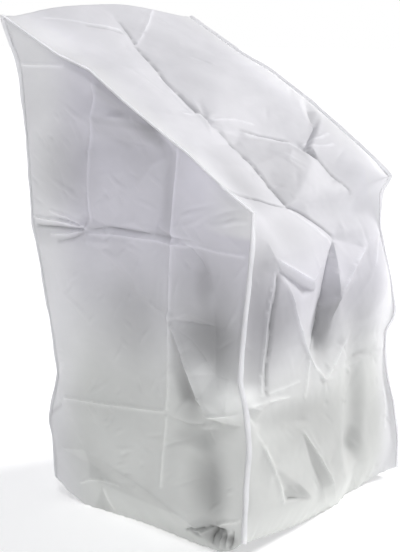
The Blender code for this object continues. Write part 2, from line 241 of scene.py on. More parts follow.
# Flat facets between fold lines. The lines' points are joined into triangles that keep every line as
# an edge, and the height is read straight across each triangle.
def facetHeight(a, b, lines):
    places, heights, edges = [], [], []
    for line in lines:
        for order, (placeA, placeB, out) in enumerate(line):
            if order:
                edges.append((len(places) - 1, len(places)))
            places.append(Vector((placeA, placeB)))
            heights.append(out)
    corners, _, triangles, origins, _, _ = delaunay_2d_cdt(places, edges, [], 0, mergeWithin)
    out = []
    for corner, origin in zip(corners, origins):
        if origin:
            out.append(heights[origin[0]])
            continue
        crossing = []  # two lines cross here: the mean of their heights
        for first, last in edges:
            near, share = intersect_point_line(corner, places[first], places[last])
            if (near.xy - corner).length < crossWithin and 0.0 <= share <= 1.0:
                crossing.append(heights[first] + (heights[last] - heights[first]) * share)
        out.append(sum(crossing) / len(crossing))
    height = np.zeros_like(a)
    for first, second, third in triangles:
        (a0, b0), (a1, b1), (a2, b2) = corners[first], corners[second], corners[third]
        area = (b1 - b2) * (a0 - a2) + (a2 - a1) * (b0 - b2)
        share0 = ((b1 - b2) * (a - a2) + (a2 - a1) * (b - b2)) / area
        share1 = ((b2 - b0) * (a - a2) + (a0 - a2) * (b - b2)) / area
        share2 = 1.0 - share0 - share1
        inside = np.minimum(np.minimum(share0, share1), share2) >= -1e-6
        flat = share0 * out[first] + share1 * out[second] + share2 * out[third]
        height = np.where(inside, flat, height)
    return height


# How far a point must slide along its row to reach a straight run, and whether that is within half a
# cell and beside the run.
def slideOnto(along, across, start, end, cell):
    share = (across - start[1]) / (end[1] - start[1])
    offset = start[0] + (end[0] - start[0]) * share - along
    return offset, (share >= 0.0) & (share <= 1.0) & (np.abs(offset) <= cell / 2.0)


# The grid's points nearest to a pinch or a crease slide onto it, along the row or the column, and
# are marked with the line's number, so that the crease runs clean along edges of the mesh. Where it
# is calmed, beside a seam, they slide less and aren't marked.
def slideOntoLines(a, b, piece, cellA, cellB, calm):
    lines = tuple(line for _, _, line in piece["pinches"]) + piece["creases"]
    slideA, slideB = np.zeros_like(a), np.zeros_like(b)
    marks = np.zeros(a.shape, dtype=np.int32)
    for number, line in enumerate(lines, 1):
        for (a0, b0, _), (a1, b1, _) in zip(line[:-1], line[1:]):
            steep = abs(b1 - b0) / np.mean(cellB) >= abs(a1 - a0) / np.mean(cellA)
            if steep:
                offset, near = slideOnto(a, b, (a0, b0), (a1, b1), cellA)
            else:
                offset, near = slideOnto(b, a, (b0, a0), (b1, a1), cellB)
            slideA = np.where(near, offset if steep else 0.0, slideA)
            slideB = np.where(near, 0.0 if steep else offset, slideB)
            marks = np.where(near, number, marks)
    return slideA * calm, slideB * calm, np.where(calm > fullCalm, marks, 0)


# Each point becomes half itself and a quarter of each neighbour, down the rows and then, turned over,
# across them, a few times.
def blurred(height, passes):
    for _ in range(2 * passes):
        wider = np.pad(height, ((1, 1), (0, 0)), "edge")
        height = (0.5 * height + 0.25 * (wider[2:] + wider[:-2])).T
    return height


# 1 up to the near distance from a line of points, then an S-curve down to 0 at the far distance.
def nearLines(a, b, lines, near, far):
    closest = np.full(a.shape, 1e9)
    for line in lines:
        for start, end in zip(line[:-1], line[1:]):
            closest = np.minimum(closest, np.hypot(*besideRun(a, b, start, end)[4:]))
    return softStep(far - closest, 0.0, far - near)


crispNear = (0.018, 0.050)  # facets are flat up to the first distance from a crease, soft past the second


# Flat facets near the creases, and the same surface averaged elsewhere. Beside a crease the facets
# are bent by their share more than the lines say.
def creasedHeight(a, b, piece):
    facets = facetHeight(a, b, piece["edges"] + piece["creases"] + piece["softLines"])
    soft = blurred(facets, piece["softPasses"])
    return soft + (facets - soft) * piece["crispness"] * nearLines(a, b, piece["creases"], *crispNear)


# All that is laid on a piece's plain surface, apart from the hem: facets, swells, folds, stars, small
# creases and waves, summed.
def laidHeight(a, b, piece):
    height = creasedHeight(a, b, piece) + swellHeight(a, b, piece["swells"]) + foldsHeight(a, b, piece)
    height += starHeight(a, b, piece["stars"]) + wrinklesHeight(a, b, piece["wrinkles"])
    return height + sum(waveHeight(a, b, *wave) for wave in piece["waves"])


# How much of the hem's pull there is: from 1 at the hem to 0 at its reach, squared, and less of it
# towards the two seams.
def hemPull(aboveHem, across, reach):
    drawn = np.clip(1.0 - aboveHem / reach, 0.0, 1.0) ** 2
    return drawn * (1.0 - np.abs(2.0 * across - 1.0) ** 4)


# A grid of points (rows, columns, 3) as a mesh of triangles, smooth but for the marked creases. Each
# square is cut along the diagonal whose ends lie on one crease. turned swaps the way they face.
def gridPiece(name, points, material, turned=False, colours=None, flat=None, marks=None):
    rows, columns = points.shape[:2]
    marks = (np.zeros((rows, columns), dtype=np.int32) if marks is None else marks).ravel()
    index = np.arange(rows * columns).reshape(rows, columns)
    first, second, third, fourth = (
        corner.ravel() for corner in (index[:-1, :-1], index[:-1, 1:], index[1:, 1:], index[1:, :-1])
    )
    across = ((marks[second] == marks[fourth]) & (marks[second] > 0))[:, None]
    upper = np.where(across, np.stack((first, second, fourth), -1), np.stack((first, second, third), -1))
    lower = np.where(across, np.stack((second, third, fourth), -1), np.stack((first, third, fourth), -1))
    triangles = np.concatenate((upper, lower))
    if turned:
        triangles = triangles[:, ::-1]
    mesh = bpy.data.meshes.new(name)
    mesh.from_pydata((points.reshape(-1, 3) + frameShift).tolist(), [], triangles.tolist())
    if colours is not None:
        layer = mesh.attributes.new("filmTintAndPaintedShade", "FLOAT_COLOR", "POINT")
        opaque = np.concatenate((colours, np.ones(colours.shape[:-1] + (1,))), axis=-1)
        layer.data.foreach_set("color", opaque.astype(np.float32).ravel())
    if flat is not None:
        layer = mesh.uv_layers.new(name="flatCut")
        layer.data.foreach_set("uv", flat.reshape(-1, 2)[triangles.ravel()].astype(np.float32).ravel())
    mesh.shade_smooth()
    mesh.set_sharp_from_angle(angle=math.radians(creaseAngle))
    ends = np.empty(len(mesh.edges) * 2, dtype=np.int32)
    mesh.edges.foreach_get("vertices", ends)
    ends = marks[ends.reshape(-1, 2)]
    sharp = np.empty(len(mesh.edges), dtype=bool)
    mesh.edges.foreach_get("use_edge_sharp", sharp)
    mesh.edges.foreach_set("use_edge_sharp", sharp & (ends[:, 0] == ends[:, 1]) & (ends[:, 0] > 0))
    mesh.materials.append(material)
    piece = bpy.data.objects.new(name, mesh)
    bpy.context.scene.collection.objects.link(piece)
    return piece


# A wall of even thickness, half of it on either side of the surface.
def thicken(piece, thickness):
    wall = piece.modifiers.new("Thickness", "SOLIDIFY")
    wall.thickness = thickness
    wall.offset = 0.0


# The long strip, up the back, down the slope and down the front. Its own places are x and g: g is 0
# at the slope's front edge, 0.8155 at the ridge, more down the back, and negative down the front.
strip = inMetres({
    "rows": {"back": 128, "slope": 158, "front": 156},
    "columns": 104,
    "cell": (0.0058, 0.0046),  # points slide onto a crease from within half of this
    "thickness": 0.0010,
    "seamInset": 0.0010,
    "calm": 0.022,  # the folds fade out over this distance from a seam
    "frontRound": 0.055,  # rounding of the slope's front edge, away from the seams
    "ridgeRound": 0.020,
    "roundAlong": 2.5,  # the rounding ends so many times its own size from the bend
    "roundFrom": 0.004,  # it begins this far from a seam
    "roundAcross": 1.5,  # and is full so many times its own size further in
    "crownTurn": 0.30,  # the crown's direction turns round a bend over this distance
    "foldTurn": 0.12,  # and a fold's direction over this one
    "fullNear": 0.16,  # within this distance of the front edge the arch across is fuller
    "fullness": (3.5, 2.0),  # the fuller arch's powers on the left and on the right
    "hemReach": 0.11,
    "hemIn": 0.032,
    "gather": (0.0016, 0.034, 0.060, 2.0),  # height, spacing, fade upwards, seed
    "waves": ((0.0009, 0.12, 0.30, 21), (0.00012, 0.018, 0.05, 22)),  # height, lengths, seed
    "softPasses": 14,  # how often the surface away from the creases is averaged
    "crispness": 1.2,
    # painted light and shade in the film's colour: lighter along the seams as if lit through from behind,
    # and painted grey in the middle for the shade of the hidden stack
    "lightEdge": 0.10,  # the film is lighter within this distance of a seam
    "lightFade": 0.20,  # but on the left that fades out over this length down the front
    # painted greenish light from the ground, coming in low down the front
    "lowTint": (0.15, 0.55),  # the low colour comes in between these places down the front
    "stackTint": (0.35, 0.05, 0.30),  # share of the grey on top, full between these places down the front
    # the middle beside the straight line between the seams: share of the section, out, up
    "crown": {
        "back": (
            (0.0, 0.006, -0.045), (0.08, 0.02, -0.03), (0.3, 0.004, 0.0), (0.8, 0.002, 0.0),
            (1.0, 0.0, 0.037),
        ),
        "slope": (
            (0.0, 0.0, 0.037), (0.15, 0.01, 0.008), (0.5, -0.012, 0.0), (0.78, -0.024, 0.0),
            (0.9, -0.046, 0.0), (1.0, -0.074, 0.0),
        ),
        "front": (
            (0.0, -0.074, 0.0), (0.07, -0.044, 0.0), (0.15, -0.01, 0.0), (0.3, 0.002, 0.0),
            (0.44, -0.016, 0.0), (0.6, 0.0, 0.0), (0.9, 0.02, -0.02), (1.0, 0.006, -0.045),
        ),
    },
    # centre x, g, half sizes, out
    "swells": (
        (220, -240, 140, 160, 12), (-150, -620, 180, 160, 8), (0, 1400, 260, 300, -12),
    ),
    # lines of points x, g, out: the surface runs between them, bent sharply along the creases and
    # softly along the soft lines
    "edges": (
        ((-370, 2100, 0), (-370, 800, 0), (-370, 400, 0), (-370, 0, 0)),
        ((-370, 0, 0), (-370, -400, 0), (-370, -900, 0)),
        ((370, 2100, 0), (370, 800, 0), (370, 400, 0), (370, 0, 0)),
        ((370, 0, 0), (370, -400, 0), (370, -900, 0)),
        ((-310, 815, 0), (-150, 815, 0), (10, 815, 0), (180, 815, 0), (310, 815, 0)),
    ),
    "creases": (
        # slope: the long valley to the upper star and its left arm
        ((-45, 645, -9), (-85, 495, -15), (-92, 395, -17), (-85, 340, -13)),
        ((-210, 345, 0), (-85, 340, -13)),
        # from the upper star to the lower one
        ((-85, 340, -13), (0, 290, -14), (48, 264, -16), (129, 224, -16)),
        ((149, 181, -14), (242, 232, -4), (293, 304, -1)),
        # the deep valley to the front edge
        ((-85, 340, -13), (-77, 295, -16), (-65, 240, -26), (-62, 180, -32)),
        ((-62, 180, -32), (-51, 110, -32), (-43, 14, -24)),
        ((-290, 83, -1), (-150, 67, -18), (-63, 18, -22)),
        # front: the bright facet's upper and lower edges
        ((-43, 14, -24), (24, -67, -22), (97, -131, -24)),
        ((-242, -76, 10), (-229, -117, 16)),
        ((-229, -117, 16), (-157, -157, 20), (-84, -198, 22)),
        ((-84, -198, 22), (4, -166, 4), (97, -131, -24)),
        ((-182, -201, 18), (-115, -232, 10), (-52, -230, 1)),
        # the long ridge down to the lower knot
        ((-229, -117, 16), (-193, -157, 6), (-182, -201, 18), (-155, -261, 20)),
        ((-155, -261, 20), (-117, -315, 20), (-76, -380, 18)),
        ((-76, -380, 18), (-39, -436, 16), (-11, -462, 14)),
        # the dart, with its steep wall on the right
        ((97, -131, -24), (70, -167, -24), (19, -232, -20), (13, -282, -22)),
        ((13, -282, -22), (4, -339, -20), (-43, -381, 0), (-76, -380, 18)),
        ((97, -131, -24), (76, -180, -4), (50, -220, 12), (31, -264, 24)),
        ((31, -264, 24), (74, -233, 20), (127, -197, 14), (191, -166, 6)),
        ((191, -166, 6), (295, -135, 3)),
        # below the seat, and the knot's right arm
        ((-320, -453, 4), (-277, -471, 8), (-236, -460, 8), (-165, -468, 8)),
        ((-11, -462, 14), (42, -438, 14), (111, -390, 10)),
        # towards the hem
        ((-273, -558, 6), (-245, -613, 11), (-225, -673, 9)),
        ((-225, -673, 9), (-203, -709, 5)),
        ((-245, -613, 11), (-160, -668, 9), (-85, -725, 5)),
        ((-203, -709, 5), (-178, -702, -2), (-85, -725, 5)),
        ((-120, -560, 4), (-70, -624, 9), (-33, -669, 11), (4, -715, 9)),
        ((4, -715, 9), (60, -770, 4)),
    ),
    "softLines": (
        ((10, 815, 0), (-45, 645, -9)),
        ((185, 815, 0), (75, 725, 8), (-45, 645, -9)),
        ((-220, 345, 0), (-170, 520, 0), (-80, 720, 2)),
        ((300, 577, 6), (150, 487, 14), (50, 422, 12), (-40, 363, -4)),
        ((-40, 363, -4), (-85, 340, -13)),
        ((-40, 363, -4), (156, 367, 4), (285, 326, 7)),
        ((129, 224, -16), (149, 181, -14)),
        ((0, 255, -14), (60, 230, -11), (118, 206, -10)),
        ((152, 170, 3), (225, 212, 7), (305, 262, 6)),
        ((149, 181, -14), (140, 138, 2), (85, 85, 2), (20, 30, -6)),
        ((20, 30, -6), (-43, 14, -24)),
        ((-240, 240, -10), (-180, 130, -19)),
        ((149, 181, -14), (166, 78, -10), (188, -18, -6)),
        ((225, 130, 9), (270, 40, 8)),
        ((97, -131, -24), (160, -85, -18), (230, -70, -10), (300, -60, 0)),
        ((-270, 20, 1), (-238, -30, 4), (-242, -76, 10)),
        ((-193, -157, 6), (-116, -200, 2), (-52, -230, 1)),
        ((-212, -161, 8), (-236, -238, 6), (-236, -336, 6), (-247, -442, 4)),
        ((-298, -130, -8), (-300, -250, -12), (-300, -400, -10)),
        ((31, -264, 24), (40, -330, 8), (18, -402, 3), (-11, -462, 14)),
        ((4, -339, -20), (-10, -392, -8), (-39, -436, 16)),
        ((75, -280, 0), (145, -236, -2), (205, -205, -2), (275, -170, 0)),
        ((120, -330, 4), (200, -300, 6), (290, -250, 6)),
        ((111, -390, 10), (150, -340, 2)),
        ((-165, -468, 8), (-90, -483, 10), (-11, -462, 14)),
        ((-11, -462, 14), (60, -455, 6), (132, -457, 0), (260, -455, 6)),
        ((-295, -500, -4), (-164, -525, -6), (-62, -545, -5), (60, -540, -4)),
        ((-295, -500, -4), (-273, -558, 6)),
        ((-90, -640, 1), (-57, -677, -2), (-15, -725, -3), (30, -770, -1)),
        ((236, -774, -14), (300, -720, -10)),
    ),
    # shape, reach to the left and to the right, and the line's points x, g, out, in metres
    "folds": (
        ("soft", 0.06, 0.08, ((0.162, -0.36, -0.004), (0.154, -0.5, -0.014), (0.121, -0.66, -0.014))),
        ("soft", 0.06, 0.08, ((0.121, -0.66, -0.014), (0.17, -0.76, -0.012))),
        ("facet", 0.08, 0.07, ((-0.14, 1.0, -0.008), (-0.1, 1.8, -0.014))),
        ("facet", 0.08, 0.07, ((0.16, 1.05, -0.006), (0.12, 1.9, -0.012))),
        ("facet", 0.04, 0.04, ((-0.3, 1.31, -0.008), (0.3, 1.32, -0.008))),
    ),
    # reach to the left and to the right, and the line's points
    "pinches": (
        (9, 9, ((-240, 778, 1.6), (-133, 728, 2.6), (-44, 709, 3))),
        (9, 9, ((-150, 723, -1.6), (-50, 699, -2.6))),
        (10, 10, ((-16, 739, -2), (-25, 698, -3.5), (-38, 655, -3.5))),
        (9, 12, ((-45, 645, -2), (-85, 495, -4), (-86, 345, -4))),
        (8, 8, ((180, 810, 1.4), (70, 722, 2), (-40, 648, 1.2))),
        (9, 9, ((0, 290, -3), (48, 264, -3.6), (125, 226, -3))),
        (10, 10, ((-77, 295, -3), (-62, 180, -4.5), (-44, 30, -3))),
        (10, 10, ((-212, -161, -3), (-233, -239, -4.5), (-230, -339, -4.5))),
        (10, 10, ((-230, -339, -4.5), (-246, -444, -3))),
        (9, 9, ((-72, -400, 2.4), (-98, -485, 2))),
        (10, 10, ((-182, -201, 3), (-155, -261, 3.4), (-117, -315, 3))),
        (10, 10, ((-117, -315, 3), (-76, -380, 3), (-11, -462, 2.6))),
        (9, 9, ((-11, -462, 2.6), (42, -438, 2.4), (111, -390, 1.6))),
        (9, 9, ((31, -264, 2.6), (127, -197, 2.6), (191, -166, 2))),
        (9, 9, ((-229, -117, 2.2), (-157, -157, 2.4), (-84, -198, 2.4))),
        (9, 9, ((-225, -155, 2.4), (-249, -240, 3), (-246, -339, 2.6))),
        (9, 9, ((-246, -339, 2.6), (-262, -440, 2))),
        (9, 9, ((-320, -453, 2.6), (-236, -460, 2.6), (-165, -468, 2))),
        (9, 9, ((-240, -442, 2.2), (-120, -440, 1.8))),
        (10, 10, ((-120, -560, 2.6), (-33, -669, 3), (4, -715, 2.6))),
        (9, 9, ((-273, -558, 2.6), (-245, -613, 2.6), (-203, -709, 2.4))),
        (9, 9, ((-95, 505, 1.8), (-106, 400, 2.2), (-100, 350, 1.8))),
        (9, 9, ((0, 276, 2.2), (60, 246, 2.6), (125, 212, 2.2))),
        (9, 9, ((160, 195, 2.6), (215, 190, 2.2), (260, 196, 1.4))),
        (9, 9, ((160, 175, 2.4), (205, 160, 2.2), (240, 158, 1.2))),
        (10, 10, ((-290, 83, -3), (-150, 67, -5), (-63, 18, -3))),
        (10, 10, ((-43, 14, -3), (24, -67, -4.4), (90, -125, -3))),
        (7, 7, ((150, 160, -1.6), (166, 78, -2.4), (188, -18, -1))),
        (9, 9, ((-85, 352, 2), (-150, 362, 1.4))),
        (9, 9, ((-70, 334, 2), (10, 322, 2.2), (60, 300, 1.4))),
        (9, 9, ((-50, -5, 2), (14, -85, 2.6), (80, -146, 1.6))),
        (10, 10, ((13, -282, -4), (4, -339, -5), (-43, -381, -3))),
        (10, 10, ((305, -560, 2.4), (300, -660, 1.8))),
        (10, 10, ((235, -215, 2.6), (285, -145, 2.2))),
        (9, 12, ((-125, 880, 2.4), (-118, 1400, 2.8), (-130, 1950, 2))),
        (12, 9, ((118, 870, 2), (126, 1420, 2.6), (115, 1920, 2.2))),
    ),
    # painted shade and painted light on the film, as darker and lighter places: centre x, g, half sizes,
    # share of the light it keeps back (negative is painted light)
    "shades": (
        (-280, -240, 110, 280, 340), (20, -300, 70, 130, 260), (0, -390, 60, 70, 140),
        (-10, 100, 70, 120, 80), (50, -620, 360, 170, 170), (-160, -690, 70, 50, 50),
        (-180, -510, 200, 40, 80), (-300, -430, 60, 35, -200), (-190, -280, 80, 140, 210),
        (-100, -540, 260, 90, 120), (150, -500, 60, 300, 60), (290, -300, 90, 300, -200),
        (-170, 120, 120, 160, 170), (-120, -80, 140, 100, 100), (310, 20, 120, 200, -220),
        (200, -40, 100, 120, -80), (300, 450, 120, 300, -140), (-200, 620, 140, 160, -60),
        (-280, 720, 100, 140, -120), (0, -760, 400, 80, -60), (-100, 1350, 220, 500, 50),
        (0, 1770, 400, 140, -50),
    ),
    # flat patches of painted shade between the folds, and painted light where the share is negative:
    # share of the light kept back, blur of the edge, corners x, g
    "panes": (
        (70, 14, ((-75, 295), (118, 208), (131, 134), (-30, 20), (-44, 25), (-62, 180))),
        (120, 12, ((287, 300), (310, 285), (214, 216))),
        (100, 14, ((94, -138), (37, -258), (38, -340), (-3, -390), (-30, -385), (10, -282))),
        (-40, 14, ((100, -137), (249, -147), (191, -172), (42, -250))),
        (60, 24, ((42, -258), (191, -176), (300, -145), (300, -300), (80, -400))),
        (120, 14, ((-240, -615), (-90, -722), (-198, -706))),
        (80, 14, ((-120, -560), (4, -712), (-30, -722), (-85, -650))),
    ),
    # small creases, in metres: box low x, low g, high x, high g, how many, directions, depth, seed
    "wrinkles": (
        ((-0.3, 0.05, 0.3, 0.78), 44, (-60.0, 60.0), 0.0024, 71),
        ((-0.3, -0.5, 0.3, 0.05), 40, (30.0, 150.0), 0.0026, 72),
        ((-0.3, -0.75, 0.3, -0.5), 34, (-70.0, 70.0), 0.0034, 73),
        ((0.08, -0.475, 0.29, -0.445), 16, (-30.0, 30.0), 0.006, 75),
        ((-0.3, 0.85, 0.3, 1.95), 60, (0.0, 180.0), 0.003, 74),
    ),
    # in metres: centre x, g, reach, spokes, height, seed
    "stars": (
        (-0.085, 0.34, 0.1, 15, 0.008, 3), (0.149, 0.181, 0.06, 13, 0.0034, 5),
        (-0.043, 0.014, 0.04, 6, 0.002, 7), (-0.011, -0.462, 0.07, 9, 0.005, 8),
        (0.031, -0.266, 0.03, 5, 0.0016, 13),
    ),
})


# Every row of the strip as its section, its share of the section and its place g.
def stripRows():
    ends = (slopeLength + backTop, slopeLength, 0.0, -frontTop)
    rows = [("back", 0.0, ends[0])]
    for section, start, end in zip(sections, ends[:-1], ends[1:]):
        shares = [step / strip["rows"][section] for step in range(1, strip["rows"][section] + 1)]
        rows += [(section, share, start + (end - start) * share) for share in shares]
    return rows


# The rows' shares of one section.
def sharesIn(rows, section):
    return np.array([share for name, share, _ in rows if name == section])


# A seam's points at the strip's rows.
def seamLine(seam, rows):
    return np.concatenate([alongSection(seam[section], sharesIn(rows, section)) for section in sections])


# Each row as the weighted mean of the rows within a distance on either side of it.
def rowsMean(values, place, reach):
    gap = np.abs(place[:, None] - place[None, :])
    weights = np.clip(1.0 - gap / reach, 0.0, 1.0)
    weights /= weights.sum(axis=1, keepdims=True)
    return np.tensordot(weights, values, axes=(1, 0))


# Vectors of length 1.
def unit(vectors):
    return vectors / np.linalg.norm(vectors, axis=1)[:, None]


# The strip's outward direction at each row: its run turned by a quarter, level across.
def outwardOf(run):
    return np.stack((np.zeros(len(run)), run[:, 2], -run[:, 1]), axis=-1)


# The arch across: 1 - |2 s - 1|^2 at a share s of the width, and near the front edge a fuller one
# whose two halves have their own powers.
def archAcross(across, place):
    left, right = strip["fullness"]
    arch = 1.0 - np.abs(2.0 * across - 1.0) ** 2
    fuller = 1.0 - np.maximum(1.0 - 2.0 * across, 0.0) ** left
    fuller = fuller - np.maximum(2.0 * across - 1.0, 0.0) ** right
    return arch + (fuller - arch) * np.exp(-((place / strip["fullNear"]) ** 2))[:, None]


# Straight between the two seams, plus the crown as an arch, then rounded over the two bends; on that
# the folds are laid along each row's own outward direction.
def stripPoints():
    rows = stripRows()
    place = np.array([row[2] for row in rows])
    left, right = seamLine(leftSeam, rows), seamLine(rightSeam, rows)
    width = np.linalg.norm(right - left, axis=1)
    across = strip["seamInset"] / width[:, None]
    across = across + np.linspace(0.0, 1.0, strip["columns"] + 1)[None, :] * (1.0 - 2.0 * across)
    crown = [tableAt(strip["crown"][section], sharesIn(rows, section)) for section in sections]
    out, up = (np.concatenate(column) for column in zip(*crown))
    plainRun = unit(np.gradient((left + right) / 2.0, axis=0))
    slowRun, run = (unit(rowsMean(plainRun, place, strip[turn])) for turn in ("crownTurn", "foldTurn"))
    slowOut, outward = outwardOf(slowRun), outwardOf(run)

    arch = archAcross(across, place)
    points = left[:, None, :] + (right - left)[:, None, :] * across[:, :, None]
    points += slowOut[:, None, :] * (out[:, None] * arch)[:, :, None]
    points[:, :, 2] += up[:, None] * arch
    fromSeam = np.minimum(across, 1.0 - across) * width[:, None]
    for centre, reach in ((0.0, strip["frontRound"]), (slopeLength, strip["ridgeRound"])):
        rounded = rowsMean(points, place, reach)
        near = softStep(reach * strip["roundAlong"] - np.abs(place - centre), 0.0, reach)[:, None]
        inner = strip["roundFrom"] + strip["roundAcross"] * reach
        points += (rounded - points) * (near * softStep(fromSeam, strip["roundFrom"], inner))[:, :, None]

    calm = softStep(fromSeam, 0.0, strip["calm"])
    x = points[:, :, 0]
    g = np.broadcast_to(place[:, None], x.shape)
    slideX, slideG, marks = slideOntoLines(x, g, strip, *strip["cell"], calm)
    x, g = x + slideX, g + slideG
    points[:, :, 0] = x
    points -= run[:, None, :] * slideG[:, :, None]

    aboveHem = np.minimum(frontTop + g, slopeLength + backTop - g)
    lift = laidHeight(x, g, strip) - strip["hemIn"] * hemPull(aboveHem, across, strip["hemReach"])
    lift += gatherHeight(x, aboveHem, *strip["gather"])
    points += outward[:, None, :] * (lift * calm)[:, :, None]
    return points, x, g, marks


